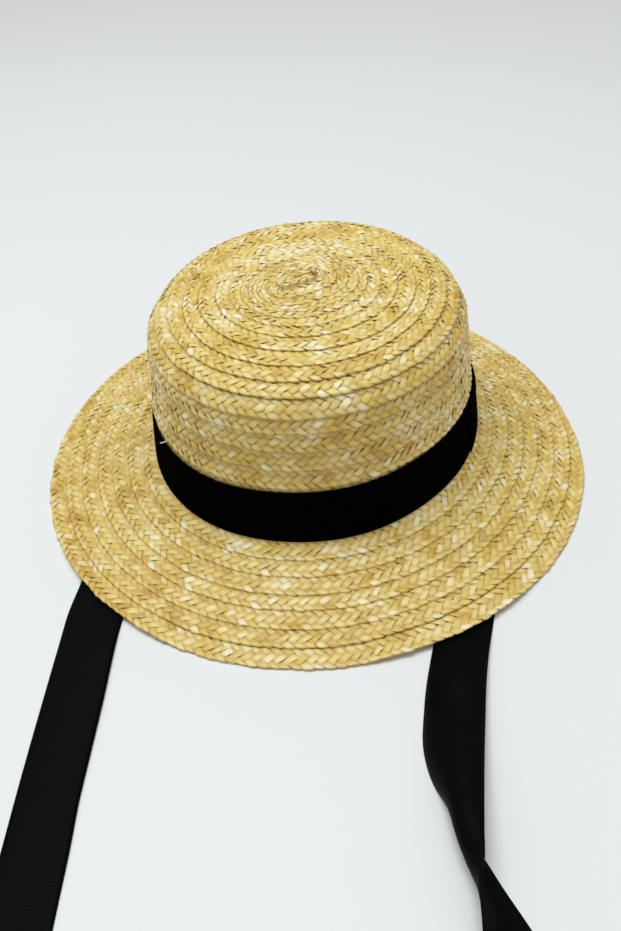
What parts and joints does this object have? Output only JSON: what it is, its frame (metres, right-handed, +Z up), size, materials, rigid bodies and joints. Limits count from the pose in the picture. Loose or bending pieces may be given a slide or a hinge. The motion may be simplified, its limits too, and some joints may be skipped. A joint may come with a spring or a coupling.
{
  "type": "straw boater hat",
  "caption": "Low round-edged straw hat of spirally sewn plait with a sloping brim, a black ribbon band and two long ribbon ties.",
  "frame": {"origin": "middle of the whole footprint, on the surface that the brim's edge and the ties lie on", "axes": "+Z up out of the crown, +Y to the back of the hat along its length, -Y towards the free ends of the ties, +X to the wearer's left as the hat is worn"},
  "size_m": [0.3006, 0.4494, 0.1065],
  "materials": {
    "straw": "plaited wheat straw, satin, pale gold to cream",
    "ribbon": "black grosgrain ribbon, fine cross ribs, low sheen"
  },
  "bodies": {
    "root": {"crown": "straw", "brim": "straw", "hat_band": "ribbon", "tie_left": "ribbon", "tie_right": "ribbon"}
  },
  "joints": []
}
